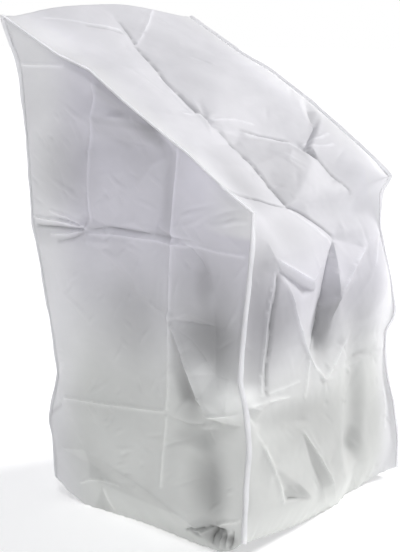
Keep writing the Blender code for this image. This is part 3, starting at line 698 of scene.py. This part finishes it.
# A side panel's own places are fromBack, counted forwards from y = 0.33, and the height z. Its tables
# are as the strip's, with these two for x and g.
leftPanel = inMetres({
    "name": "sidePanelLeft",
    "seam": leftSeam,
    "outside": -1.0,
    "grid": (150, 250),
    "cellShare": 0.94,  # points slide onto a crease from within half of this share of a cell
    "thickness": 0.0010,
    "seamInset": 0.0010,
    "calm": 0.022,
    "hemReach": 0.11,
    "hemIn": 0.032,
    "hemShare": 1.0,
    "hemSlack": (0.35, 0.05, 0.45),  # share of the pull near the back seam, and full between these places
    # the hem beside the straight line between its corners: share from the back, drop
    "hemDrop": (
        (0.0, 0.0), (0.05, -0.031), (0.15, -0.056), (0.5, -0.061),
        (0.75, -0.064), (0.86, -0.058), (0.94, -0.034), (1.0, 0.0),
    ),
    "gather": (0.0011, 0.036, 0.060, 3.1),
    "waves": ((0.0009, 0.12, 0.30, 31), (0.00012, 0.018, 0.05, 32)),
    "softPasses": 14,
    "crispness": 1.4,
    # painted light in the film's colour: lighter along the back seam and the top of the front seam as if
    # lit through from behind, with the middle painted grey for the shade of the hidden stack
    "lightEdge": 0.16,
    "lightFrom": (0.03, 0.68, 0.74, 0.10),  # back, front, and the front one's lower end and fade
    # painted greenish light from the ground, low down the panel
    "lowTint": (0.75, 0.5),  # the low colour comes in under this height, over this length
    # centre fromBack, z, half sizes, out
    "swells": (
        (280, 560, 300, 260, -14), (310, 120, 320, 220, 16), (570, 740, 140, 160, 10),
    ),
    "edges": (
        ((-120, 1300, 0), (-120, 600, 0), (-120, -100, 0), (300, -100, 0), (750, -100, 0)),
        ((-120, 1300, 0), (300, 1300, 0), (750, 1300, 0), (750, 600, 0), (750, -100, 0)),
    ),
    "creases": (
        # the upper shade's corner and the slanting creases
        ((383, 955, 6), (427, 930, -10)),
        ((290, 945, 6), (352, 894, -8)),
        ((390, 865, -6), (310, 840, 3), (209, 752, 3)),
        # the long level fold at seat-back height
        ((177, 690, -2), (248, 703, -6), (372, 703, -7), (451, 706, 0)),
        ((451, 706, 0), (539, 705, -3), (650, 698, 0)),
        # slanting down to the seat
        ((218, 643, -1), (258, 599, -9), (321, 545, -10), (371, 537, -6)),
        ((371, 537, -6), (420, 522, -2)),
        # the pocket over the seat
        ((470, 700, 0), (506, 688, -8), (531, 663, -13), (548, 631, -18)),
        ((455, 501, 6), (504, 516, -10), (559, 510, -28)),
        ((455, 501, 6), (510, 476, -4), (550, 436, -13), (568, 401, -20)),
        ((568, 401, -20), (615, 405, -8), (655, 402, 0)),
        ((455, 501, 6), (486, 462, 12), (519, 397, 18), (549, 349, 25)),
        ((549, 349, 25), (578, 312, 30), (622, 323, 20), (658, 333, 4)),
        # the level crease above the legs
        ((90, 240, 3), (215, 254, 5), (317, 268, 5), (425, 282, 3)),
        # above the hem: the fold that turns in
        ((80, 100, 4), (175, 124, 12), (248, 112, 14), (332, 93, 14)),
        ((332, 93, 14), (395, 74, 15), (452, 47, 14), (507, 22, 11)),
    ),
    "softLines": (
        # the cloth turned over under the slope's seam
        ((100, 1090, 2), (164, 1066, 10), (212, 1042, 14), (269, 1012, 10), (340, 978, 4)),
        ((110, 1060, -2), (205, 1010, -4), (290, 985, -2)),
        # the upper shade
        ((130, 950, 4), (214, 965, 11), (301, 967, 12), (383, 955, 6)),
        ((180, 905, -3), (285, 912, -6), (381, 905, -14), (427, 930, -10)),
        # the trough left of the second packing crease
        ((445, 890, -12), (435, 866, -14), (411, 795, -19), (391, 724, -16)),
        ((391, 724, -16), (371, 603, -8)),
        ((467, 895, 3), (462, 836, 7), (459, 758, 7), (452, 716, 6)),
        ((451, 690, 5), (449, 620, 6), (446, 515, 6)),
        ((340, 800, 4), (335, 725, 3)),
        # beside the level fold
        ((-30, 692, -1), (44, 683, -9), (128, 685, -9), (177, 690, -1)),
        ((-20, 728, 5), (100, 735, 6), (165, 735, 3)),
        ((0, 650, 8), (100, 648, 10), (170, 660, 4), (300, 670, 3)),
        ((81, 814, 4), (129, 798, -2), (157, 764, -10), (172, 724, -9)),
        ((175, 820, 6), (205, 760, 4)),
        ((270, 630, 5), (330, 585, 5)),
        ((120, 560, 4), (200, 500, 2)),
        # inside the pocket and left of it
        ((548, 631, -18), (557, 573, -24), (559, 510, -28), (568, 436, -24)),
        ((568, 436, -24), (568, 401, -20)),
        ((490, 640, 8), (510, 580, 6), (505, 535, 4)),
        ((620, 640, -6), (625, 520, -10), (625, 440, -6)),
        ((445, 470, 0), (466, 406, -12), (492, 336, -17), (535, 288, -18)),
        ((535, 288, -18), (600, 290, -8), (655, 300, 0)),
        ((434, 400, 2), (434, 300, 2)),
        # the pit under the pocket
        ((440, 275, 0), (488, 262, -10), (528, 240, -15), (583, 256, -2)),
        ((470, 215, 4), (550, 205, 2)),
        # low down
        ((85, 320, -1), (300, 340, -2), (410, 360, -2)),
        ((72, 330, 6), (60, 290, -4), (67, 213, -6), (40, 170, 4)),
        ((150, 80, -6), (240, 60, -10), (320, 42, -12), (395, 20, -12)),
        ((395, 20, -12), (450, -10, -6)),
        ((547, 182, -12), (550, 111, -18), (542, 50, -14)),
        ((480, 160, 8), (478, 100, 10)),
        ((600, 180, 6), (605, 80, 6)),
    ),
    "folds": (),  # none but pinches
    "pinches": (
        (9, 14, ((220, 1040, 3.4), (210, 955, 4.2), (196, 882, 4.2))),
        (9, 14, ((196, 882, 4.2), (197, 812, 4.2), (188, 712, 4))),
        (8, 12, ((467, 905, 3.4), (459, 758, 5), (449, 620, 5))),
        (8, 12, ((449, 620, 5), (446, 515, 4.6), (434, 290, 3.4))),
        (8, 12, ((434, 270, 3), (431, 100, 2.8))),
        (9, 9, ((-40, 1076, 2.6), (120, 1076, 1.6))),
        (10, 10, ((185, 679, 2.2), (260, 686, 2.6), (372, 688, 2.6))),
        (10, 10, ((372, 688, 2.6), (539, 692, 2.4), (650, 687, 1.8))),
        (10, 10, ((-10, 700, 5), (90, 698, 7), (170, 690, 3))),
        (10, 10, ((60, 722, 3), (115, 714, 6), (168, 694, 3))),
        (10, 10, ((10, 680, -6), (100, 684, -7), (165, 687, -3))),
        (9, 9, ((80, 707, -1.2), (130, 702, -6), (165, 692, -3))),
        (10, 10, ((60, 664, 3), (115, 671, 6), (168, 684, 3))),
        (9, 9, ((85, 650, -2), (130, 662, -5), (166, 680, -3))),
        (10, 8, ((185, 692, -2.4), (248, 703, -2.6), (372, 703, -2.4))),
        (10, 8, ((372, 703, -2.4), (444, 705, -1.6))),
        (10, 10, ((218, 643, 1.2), (258, 599, 1.8), (321, 545, 1.8))),
        (10, 10, ((321, 545, 1.2), (371, 537, 1.8), (420, 522, 1.4))),
        (9, 10, ((90, 240, 3.4), (215, 254, 4), (425, 282, 3.4))),
        (10, 10, ((445, 272, -1.2), (488, 262, -2.4), (528, 268, -2.4))),
        (10, 10, ((455, 501, 3), (486, 462, 4), (549, 349, 4.4))),
        (10, 10, ((549, 349, 4.4), (578, 312, 4), (622, 323, 3))),
        (9, 9, ((520, 8, -5), (560, 22, -8), (600, 26, -6))),
        (9, 9, ((530, -4, 5), (545, 12, 8), (550, 20, 5))),
        (9, 9, ((560, -20, -6), (565, 0, -8), (572, 18, -5))),
        (9, 9, ((585, -24, 6), (590, 0, 8), (596, 18, 5))),
        (9, 9, ((480, -12, -4), (500, 4, -6), (530, 10, -4))),
        (9, 9, ((612, -14, -5), (620, 10, -6), (628, 34, -4))),
        (9, 9, ((602, -20, 4), (606, 4, 6), (612, 24, 4))),
        (10, 10, ((20, 170, -3), (67, 213, -2))),
        (10, 10, ((60, 290, 3), (85, 330, 1))),
        (10, 10, ((214, 20, 4), (234, -36, 2))),
        (10, 10, ((130, 12, 3), (170, 34, 4), (212, 44, 4))),
        (10, 10, ((212, 44, 4), (270, 47, 2))),
        (10, 10, ((510, 0, 2), (548, 11, 4), (605, 49, 4))),
        (10, 10, ((605, 49, 4), (650, 69, 2))),
    ),
    # painted shade and painted light on the panel: centre fromBack, z, half sizes, share of the light it
    # keeps back (negative is painted light)
    "shades": (
        (560, 540, 140, 220, 240), (560, 130, 80, 150, 320), (490, 330, 50, 100, 220),
        (320, 500, 140, 160, 160), (115, 694, 45, 14, -100), (560, 480, 100, 100, 140),
        (545, 395, 45, 70, -140), (400, 935, 70, 45, 100), (260, 850, 140, 45, -70),
        (500, 235, 55, 35, 140), (50, 220, 80, 160, -70), (538, 615, 28, 80, 120),
        (435, 800, 35, 150, 100), (510, -8, 30, 20, 360), (605, 10, 45, 22, 340),
        (120, 840, 140, 140, 160), (570, 0, 80, 50, 340), (320, 870, 180, 80, 70),
        (100, 420, 160, 280, -100), (280, 150, 260, 120, -60), (280, 10, 300, 90, -100),
        (620, 350, 80, 60, -200), (540, 840, 120, 140, -140),
    ),
    # flat patches of painted shade, and painted light where the share is negative: share of the light
    # kept back, blur of the edge, corners fromBack, z
    "panes": (
        (-50, 14, ((456, 499), (510, 476), (568, 401), (582, 314), (549, 345))),
        (-60, 14, ((568, 401), (652, 402), (652, 335), (582, 314))),
        (200, 24, ((458, 492), (578, 310), (470, 320), (447, 400))),
        (70, 50, ((456, 503), (559, 515), (650, 515), (650, 405), (565, 415))),
        (90, 26, ((212, 963), (402, 953), (420, 922), (321, 900), (205, 925))),
        (60, 10, ((212, 962), (402, 953), (402, 938), (212, 948))),
        (90, 12, ((175, 122), (298, 106), (392, 79), (480, 40), (390, 22), (165, 38))),
        (100, 10, ((210, 24), (165, -52), (222, -52))),
        (170, 40, ((232, 1049), (418, 945), (415, 899), (215, 1014))),
    ),
    "wrinkles": (
        ((0.05, 0.72, 0.44, 0.96), 50, (100.0, 165.0), 0.003, 81),
        ((0.05, 0.3, 0.62, 0.68), 50, (20.0, 160.0), 0.0032, 82),
        ((0.05, 0.0, 0.62, 0.3), 40, (-30.0, 60.0), 0.0036, 83),
        ((0.4, 0.72, 0.6, 0.76), 12, (0.0, 30.0), 0.003, 84),
    ),
    "stars": (
        (0.165, 0.69, 0.055, 11, 0.0064, 4), (0.455, 0.5, 0.04, 6, 0.0022, 6),
        (0.42, 0.935, 0.05, 7, 0.0026, 9), (0.545, 0.262, 0.06, 7, 0.0036, 14),
        (0.575, 0.02, 0.05, 9, 0.005, 15), (0.075, 0.235, 0.045, 7, 0.0024, 16),
    ),
})
# the other side: the same cut, plainer folds of its own
rightPanel = dict(leftPanel)
rightPanel.update(inMetres({
    "name": "sidePanelRight",
    "seam": rightSeam,
    "outside": 1.0,
    "grid": (120, 200),
    "hemShare": 0.50,
    "gather": (0.0011, 0.036, 0.060, 4.7),
    "waves": ((0.0009, 0.12, 0.30, 47), (0.00012, 0.018, 0.05, 48)),
    "swells": (
        (330, 550, 300, 260, -12),
        (280, 140, 320, 220, 18),
    ),
    "creases": (
        ((30, 700, -6), (300, 696, -8), (630, 690, -10)),
        ((610, 470, -2), (560, 360, -12), (490, 220, -14), (440, 120, -6)),
    ),
    "softLines": (
        ((40, 1090, 4), (220, 1010, 8), (380, 935, 6), (540, 850, 4)),
        ((170, 980, 0), (150, 800, -10), (130, 600, -12), (160, 480, -4)),
        ((250, 940, 4), (240, 780, 6), (250, 620, 4)),
        ((420, 890, -6), (400, 760, -10), (390, 620, -8), (350, 520, 2)),
        ((480, 480, 6), (420, 340, 8), (330, 270, 4)),
        ((100, 250, 3), (300, 262, 3), (500, 300, 0)),
        ((150, 300, -6), (200, 160, -12), (230, 50, -12)),
        ((320, 180, 6), (340, 60, 8)),
    ),
    "pinches": (
        (9, 12, ((205, 1020, 2.2), (200, 700, 2.4), (190, 350, 1.8))),
        (9, 12, ((460, 870, 2), (450, 500, 2.4), (440, 60, 2))),
        (10, 9, ((20, 700, -3), (330, 697, -3.4), (640, 690, -2.8))),
        (9, 9, ((30, 262, 2), (600, 290, 1.8))),
    ),
    # painted shade: centre fromBack, z, half sizes, share of the light it keeps back
    "shades": (
        (580, 520, 160, 240, 60),
        (280, 200, 260, 160, 50),
    ),
    "panes": (),
    "stars": (
        (0.2, 0.697, 0.06, 8, 0.0036, 61),
        (0.45, 0.693, 0.05, 7, 0.003, 62),
        (0.49, 0.22, 0.05, 7, 0.003, 63),
    ),
}))


# The patch between the two upright runs of the seam, its slope and the hem (each edge blended with the
# one across from it, less the corners), with the folds laid sideways on it.
def panelPoints(panel):
    seam = panel["seam"]
    cornerBack, cornerFront = np.array(seam["slope"][0]), np.array(seam["slope"][-1])
    hemBack, hemFront = np.array(seam["back"][0]), np.array(seam["front"][-1])
    columns, rows = panel["grid"]
    upward, forward = np.linspace(0.0, 1.0, rows + 1), np.linspace(0.0, 1.0, columns + 1)
    up, across = np.meshgrid(upward, forward, indexing="ij")
    length = np.linalg.norm(cornerFront - cornerBack)
    height = backTop + (frontTop - backTop) * across
    inset = panel["seamInset"]
    across = inset / length + across * (1.0 - 2.0 * inset / length)
    up = up * (1.0 - inset / height)
    back = alongSection(seam["back"], up)
    front = alongSection(seam["front"], 1.0 - up)
    top = alongSection(seam["slope"], across)
    hem = hemBack + (hemFront - hemBack) * across[:, :, None]
    hem[:, :, 2] += panel["hemShare"] * tableAt(panel["hemDrop"], across)[0]
    u, v = across[:, :, None], up[:, :, None]
    points = (1.0 - v) * hem + v * top + (1.0 - u) * back + u * front
    points -= (1.0 - v) * ((1.0 - u) * hemBack + u * hemFront)
    points -= v * ((1.0 - u) * cornerBack + u * cornerFront)

    fromSeam = np.minimum(np.minimum(across, 1.0 - across) * length, (1.0 - up) * height)
    calm = softStep(fromSeam, 0.0, panel["calm"])
    a, z = halfSize - points[:, :, 1], points[:, :, 2]
    cell = (panel["cellShare"] * length / columns, panel["cellShare"] * height / rows)
    slideA, slideZ, marks = slideOntoLines(a, z, panel, *cell, calm)
    a, z = a + slideA, z + slideZ
    points[:, :, 1], points[:, :, 2] = halfSize - a, z

    slack, low, high = panel["hemSlack"]
    slack = slack + (1.0 - slack) * softStep(across, low, high)
    lift = laidHeight(a, z, panel)
    lift -= panel["hemIn"] * slack * hemPull(up * height, across, panel["hemReach"])
    lift += gatherHeight(a, up * height, *panel["gather"])
    points[:, :, 0] += panel["outside"] * lift * calm
    return points, a, z, marks


tape = {
    "columns": 4,
    "width": 0.0086,
    "uneven": (0.0004, 63.0),  # the width's wave: size, and turns per metre in radians
    "slimmer": (0.0026, -0.20, 0.20),  # so much narrower high on the front, around g, over this length
    "thickness": 0.0009,
    "wrap": 0.0030,  # it begins this far back on the side panel
    "wrapOut": 0.0010,  # and this far out from it
    "wrapTurn": 0.6,  # and turns the corner so many times as far up
    "mean": 0.010,  # its direction is the mean over this length either way
    "start": 0.0012,
    "laidStart": 0.0019,
    "laidAngle": 80.0,
    "sway": ((5.0, 41.0, 0.0), (3.0, 97.0, 1.0)),  # waves of the lean: degrees, radians per metre, start
    # how far it leans over the strip, in degrees, at shares of each section
    "lean": {
        "back": ((0.0, 60.0), (0.80, 60.0), (0.92, 0.0), (1.0, 0.0)),
        "slope": ((0.0, 0.0), (0.9, 0.0), (1.0, 15.0)),
        "front": ((0.0, 15.0), (0.12, 80.0), (1.0, 80.0)),
    },
}


# The tape stands out from the seam between the two sheets' directions, leaning over the strip by its
# table, each row a straight line of its width.
def tapePoints(seam, outside):
    rows = stripRows()
    place = np.array([row[2] for row in rows])
    line = seamLine(seam, rows)
    stripOut = unit(rowsMean(outwardOf(unit(np.gradient(line, axis=0))), place, tape["mean"]))
    sideOut = np.array((outside, 0.0, 0.0))
    leans = [tableAt(tape["lean"][section], sharesIn(rows, section))[0] for section in sections]
    lean = np.concatenate(leans)
    sway = sum(size * np.sin(place * turns + start) for size, turns, start in tape["sway"])
    turn = np.radians(lean + sway)[:, None]
    direction = np.cos(turn) * (sideOut + stripOut) / math.sqrt(2.0)
    direction += np.sin(turn) * (stripOut - sideOut) / math.sqrt(2.0)
    start = tape["start"] + (tape["laidStart"] - tape["start"]) * lean / tape["laidAngle"]
    less, middle, reach = tape["slimmer"]
    width = tape["width"] + tape["uneven"][0] * np.sin(place * tape["uneven"][1])
    width = width - less * np.exp(-(((place - middle) / reach) ** 2))
    share = np.linspace(0.0, 1.0, tape["columns"] + 1)
    away = start[:, None] + share[None, :] * width[:, None]
    flap = line[:, None, :] + direction[:, None, :] * away[:, :, None]
    wrapped = line + sideOut * tape["wrapOut"]
    wrap = (wrapped - stripOut * tape["wrap"], wrapped + stripOut * tape["wrapOut"] * tape["wrapTurn"])
    return np.concatenate((np.stack(wrap, axis=1), flap), axis=1)


filmLook = {
    # colours as linear numbers: painted grey shade where the hidden stack darkens the film from behind,
    # painted light at its edges where light comes through from behind, and painted greenish light from
    # the ground low down
    "upper": (0.80, 0.79, 0.84),
    "edge": (0.93, 0.93, 0.94),
    "lower": (0.84, 0.85, 0.83),
    "cloud": (0.93, 1.04),  # cloudiness multiplies the colour between these
    "roughness": (0.50, 0.66),
    "translucent": 0.30,
    "bump": 0.035,
    # painted highlight along raised pinches and painted shade along sunk ones, set by the rows below
    "creaseDepth": 0.0013,  # a pinch deeper than this at its first point whitens or darkens
    "paintedRidgeLight": (0.13, 0.0065),  # share of light, and width on either side
    "paintedCreaseShade": (0.14, 0.0090),
}


# The film's colour on every point: from the painted light of the edge to the painted grey shade of the
# middle, less the painted shade, the share of light it keeps back.
def filmColours(middle, low, shade):
    upper, edge, lower = (np.array(filmLook[part]) for part in ("upper", "edge", "lower"))
    colour = upper + (lower - upper) * low[:, :, None]
    return (edge + (colour - edge) * middle[:, :, None]) * (1.0 - shade)[:, :, None]


# How far each place is inside a flat shape with straight edges: the least of its distances from the
# lines through the edges, counted positive on the shape's side.
def insideOf(a, b, corners):
    corner = np.array(corners)
    middle = corner.mean(axis=0)
    least = np.full(a.shape, 10.0)
    for start, end in zip(corner, np.roll(corner, -1, axis=0)):
        along = (end - start) / np.linalg.norm(end - start)
        side = (a - start[0]) * -along[1] + (b - start[1]) * along[0]
        inner = (middle[0] - start[0]) * -along[1] + (middle[1] - start[1]) * along[0]
        least = np.minimum(least, side * np.sign(inner))
    return least


# The share of light the film keeps back, all painted: painted darker and lighter places as swells, less a
# painted highlight along raised pinches, plus painted shade along sunk ones, plus the flat patches of
# painted shade and light.
def filmShade(a, b, piece):
    pinches = [line for _, _, line in piece["pinches"]]
    ridges = [line for line in pinches if line[0][2] > filmLook["creaseDepth"]]
    valleys = [line for line in pinches if line[0][2] < -filmLook["creaseDepth"]]
    (ridgeLight, ridgeLightWidth), (creaseShade, creaseShadeWidth) = filmLook["paintedRidgeLight"], filmLook["paintedCreaseShade"]
    shade = swellHeight(a, b, piece["shades"]) - ridgeLight * nearLines(a, b, ridges, 0.0, ridgeLightWidth)
    shade = shade + creaseShade * nearLines(a, b, valleys, 0.0, creaseShadeWidth)
    for amount, blur, corners in piece["panes"]:
        shade = shade + amount * softStep(insideOf(a, b, corners), -0.5 * blur, 0.5 * blur)
    return shade


def newMaterial(name):
    material = bpy.data.materials.new(name)
    material.use_nodes = True
    return material, material.node_tree


# A node of a kind, with the values of its inputs.
def addNode(tree, kind, **values):
    node = tree.nodes.new("ShaderNode" + kind)
    for title, value in values.items():
        node.inputs[title].default_value = value
    return node


# A node that brings 0 to 1 between two values.
def addRange(tree, low, high):
    node = tree.nodes.new("ShaderNodeMapRange")
    node.inputs["To Min"].default_value = low
    node.inputs["To Max"].default_value = high
    return node


# One link after another: from a node's output to a node's input.
def join(tree, *links):
    for giver, output, taker, socket in links:
        tree.links.new(giver.outputs[output], taker.inputs[socket])


# The links of a surface that is partly solid and partly lets light through.
def mixed(shader, through, both, output):
    return (shader, "BSDF", both, 1), (through, "BSDF", both, 2), (both, "Shader", output, "Surface")


# Milky film: clouded colour, uneven gloss and a fine crinkle, partly letting light through.
def makeFilm():
    material, tree = newMaterial("film")
    tree.nodes.clear()
    output = addNode(tree, "OutputMaterial")
    shader = addNode(tree, "BsdfPrincipled", IOR=1.40)
    through = addNode(tree, "BsdfTranslucent")
    both = addNode(tree, "MixShader", Fac=filmLook["translucent"])
    place = addNode(tree, "TexCoord")
    # the film's colour with its painted light and shade, read from the mesh
    tint = addNode(tree, "Attribute")
    tint.attribute_name = "filmTintAndPaintedShade"
    cloud = addNode(tree, "TexNoise", Scale=14.0, Detail=6.0)
    cloudRange = addRange(tree, *filmLook["cloud"])
    colour = addNode(tree, "VectorMath")
    colour.operation = "SCALE"
    gloss = addNode(tree, "TexNoise", Scale=42.0, Detail=4.0)
    glossRange = addRange(tree, *filmLook["roughness"])
    crinkle = addNode(tree, "TexNoise", Scale=55.0, Detail=8.0, Roughness=0.62)
    grain = addNode(tree, "TexNoise", Scale=900.0, Detail=2.0)
    crinkleBump = addNode(tree, "Bump", Strength=filmLook["bump"], Distance=0.004)
    grainBump = addNode(tree, "Bump", Strength=0.06, Distance=0.0004)
    for noise in (cloud, gloss, crinkle, grain):
        join(tree, (place, "Object", noise, "Vector"))
    join(
        tree,
        (cloud, "Fac", cloudRange, "Value"),
        (tint, "Color", colour, "Vector"),
        (cloudRange, "Result", colour, "Scale"),
        (colour, "Vector", shader, "Base Color"),
        (colour, "Vector", through, "Color"),
        (gloss, "Fac", glossRange, "Value"),
        (glossRange, "Result", shader, "Roughness"),
        (crinkle, "Fac", crinkleBump, "Height"),
        (grain, "Fac", grainBump, "Height"),
        (crinkleBump, "Normal", grainBump, "Normal"),
        (grainBump, "Normal", shader, "Normal"),
        (grainBump, "Normal", through, "Normal"),
        *mixed(shader, through, both, output),
    )
    return material


tapeLook = {
    "colours": ((0.92, 0.92, 0.93, 1.0), (0.97, 0.97, 0.98, 1.0)),
    "roughness": (0.50, 0.72),
    "translucent": 0.60,
    "weave": 0.35,
}


# Matt white woven tape, partly letting light through.
def makeTapeCloth():
    material, tree = newMaterial("tape")
    shader, output = tree.nodes["Principled BSDF"], tree.nodes["Material Output"]
    place = addNode(tree, "TexCoord")
    weave = addNode(tree, "TexNoise", Scale=700.0, Detail=2.0)
    dirt = addNode(tree, "TexNoise", Scale=25.0)
    colour = tree.nodes.new("ShaderNodeMix")
    colour.data_type = "RGBA"
    colour.inputs["A"].default_value, colour.inputs["B"].default_value = tapeLook["colours"]
    rough = addRange(tree, *tapeLook["roughness"])
    bump = addNode(tree, "Bump", Strength=tapeLook["weave"], Distance=0.0004)
    through = addNode(tree, "BsdfTranslucent")
    both = addNode(tree, "MixShader", Fac=tapeLook["translucent"])
    join(
        tree,
        (place, "Object", weave, "Vector"),
        (place, "Object", dirt, "Vector"),
        (dirt, "Fac", colour, "Factor"),
        (colour, "Result", shader, "Base Color"),
        (colour, "Result", through, "Color"),
        (dirt, "Fac", rough, "Value"),
        (rough, "Result", shader, "Roughness"),
        (weave, "Fac", bump, "Height"),
        (bump, "Normal", shader, "Normal"),
        *mixed(shader, through, both, output),
    )
    return material


# The strip's colour goes from the painted light along each seam to the painted grey shade of the middle,
# with painted greenish ground light low down the front, and its flat cut is the map of its own places.
def makeStrip(film):
    points, x, g, marks = stripPoints()
    fromEdge = np.minimum(x + halfSize + np.clip(-g, 0.0, strip["lightFade"]), halfSize - x)
    least, start, end = strip["stackTint"]
    middle = least + (1.0 - least) * softStep(-g, start, end)
    middle = middle * softStep(fromEdge, 0.0, strip["lightEdge"])
    colours = filmColours(middle, softStep(-g, *strip["lowTint"]), filmShade(x, g, strip))
    flat = np.stack((x, g), axis=-1)
    piece = gridPiece("longStrip", points, film, True, colours, flat, marks)
    thicken(piece, strip["thickness"])
    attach(piece, "root")
    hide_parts("long_strip")


# The same for a side panel: its painted light along the front edge is only at the top of the seam, and
# the painted greenish ground light comes in low down.
def makePanel(panel, film, node):
    points, a, z, marks = panelPoints(panel)
    start, end, above, fade = panel["lightFrom"]
    fromEdge = np.minimum(a - start, end - a + softStep(above - z, 0.0, fade))
    middle = softStep(fromEdge, 0.0, panel["lightEdge"])
    low = softStep(panel["lowTint"][0] - z, 0.0, panel["lowTint"][1])
    colours = filmColours(middle, low, filmShade(a, z, panel))
    flat = np.stack((a, z), axis=-1)
    piece = gridPiece(panel["name"], points, film, panel["outside"] < 0.0, colours, flat, marks)
    thicken(piece, panel["thickness"])
    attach(piece, "root")
    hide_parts(node)


def makeTape(name, seam, outside, material, node):
    piece = gridPiece(name, tapePoints(seam, outside), material, outside > 0.0)
    thicken(piece, tape["thickness"])
    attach(piece, "root")
    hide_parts(node)
    return piece


camera = {
    "target": (-0.050, 0.002, 0.592),
    "azimuth": -51.5,
    "elevation": 13.6,
    "distance": 2.72,
    "lens": 68.5,
    "sensor": 36.0,
}
studio = {
    "floorHalf": 40.0,
    "floor": (0.95, 0.95, 0.95, 1.0),
    "floorRough": 0.8,
    "floorGlow": 0.40,
    "sky": (0.95, 0.96, 1.0, 1.0),
    "skyStrength": 0.31,
    "backdrop": (1.0, 1.0, 1.0, 1.0),
    # name, where it shines from, spread in degrees, strength, colour
    "lights": (
        ("right", (0.72, -0.34, 0.60), 14.0, 2.5, (1.0, 0.99, 0.99)),
        ("top", (-0.38, -0.25, 0.88), 12.0, 0.60, (0.99, 0.99, 1.0)),
    ),
}


def makeFloor():
    mesh = bpy.data.meshes.new("floor")
    half = studio["floorHalf"]
    corners = [(-half, -half, 0), (half, -half, 0), (half, half, 0), (-half, half, 0)]
    mesh.from_pydata(corners, [], [(0, 1, 2, 3)])
    material, tree = newMaterial("paleFloor")
    shader = tree.nodes["Principled BSDF"]
    shader.inputs["Base Color"].default_value = studio["floor"]
    shader.inputs["Roughness"].default_value = studio["floorRough"]
    shader.inputs["Emission Color"].default_value = (1.0, 1.0, 1.0, 1.0)
    shader.inputs["Emission Strength"].default_value = studio["floorGlow"]
    mesh.materials.append(material)
    floor = bpy.data.objects.new("floor", mesh)
    bpy.context.scene.collection.objects.link(floor)


# A soft sky lights the object, and a white backdrop is what the camera sees behind it.
def makeSky():
    world = bpy.data.worlds.new("studio")
    bpy.context.scene.world = world
    world.use_nodes = True
    tree = world.node_tree
    soft, output = tree.nodes["Background"], tree.nodes["World Output"]
    soft.inputs["Color"].default_value = studio["sky"]
    soft.inputs["Strength"].default_value = studio["skyStrength"]
    backdrop = addNode(tree, "Background", Color=studio["backdrop"])
    path = addNode(tree, "LightPath")
    either = addNode(tree, "MixShader")
    join(
        tree,
        (path, "Is Camera Ray", either, "Fac"),
        (soft, "Background", either, 1),
        (backdrop, "Background", either, 2),
        (either, "Shader", output, "Surface"),
    )


def makeLights():
    for name, place, spread, strength, colour in studio["lights"]:
        data = bpy.data.lights.new(name, "SUN")
        data.energy, data.color = strength, colour
        data.angle = math.radians(spread)
        lamp = bpy.data.objects.new(name, data)
        lamp.location = place
        lamp.rotation_euler = (-Vector(place)).to_track_quat("-Z", "Y").to_euler()
        bpy.context.scene.collection.objects.link(lamp)


def makeCamera():
    azimuth, elevation = math.radians(camera["azimuth"]), math.radians(camera["elevation"])
    level = math.cos(elevation)
    back = Vector((math.sin(azimuth) * level, -math.cos(azimuth) * level, math.sin(elevation)))
    data = bpy.data.cameras.new("camera")
    data.lens, data.sensor_width = camera["lens"], camera["sensor"]
    view = bpy.data.objects.new("camera", data)
    view.location = Vector(camera["target"]) + back * camera["distance"]
    view.rotation_euler = (math.radians(90.0) - elevation, 0.0, azimuth)
    bpy.context.scene.collection.objects.link(view)
    bpy.context.scene.camera = view
    bpy.context.scene.view_settings.view_transform = "Standard"


makeFloor()
makeSky()
makeLights()
makeCamera()
print("stage ready")
film, tapeCloth = makeFilm(), makeTapeCloth()
tapes = [
    makeTape("seamTapeLeft", leftSeam, -1.0, tapeCloth, "seam_tape_left"),
    makeTape("seamTapeRight", rightSeam, 1.0, tapeCloth, "seam_tape_right"),
]
print("tapes ready")
makeStrip(film)
print("strip ready")
makePanel(leftPanel, film, "side_panel_left")
makePanel(rightPanel, film, "side_panel_right")
print("side panels ready")
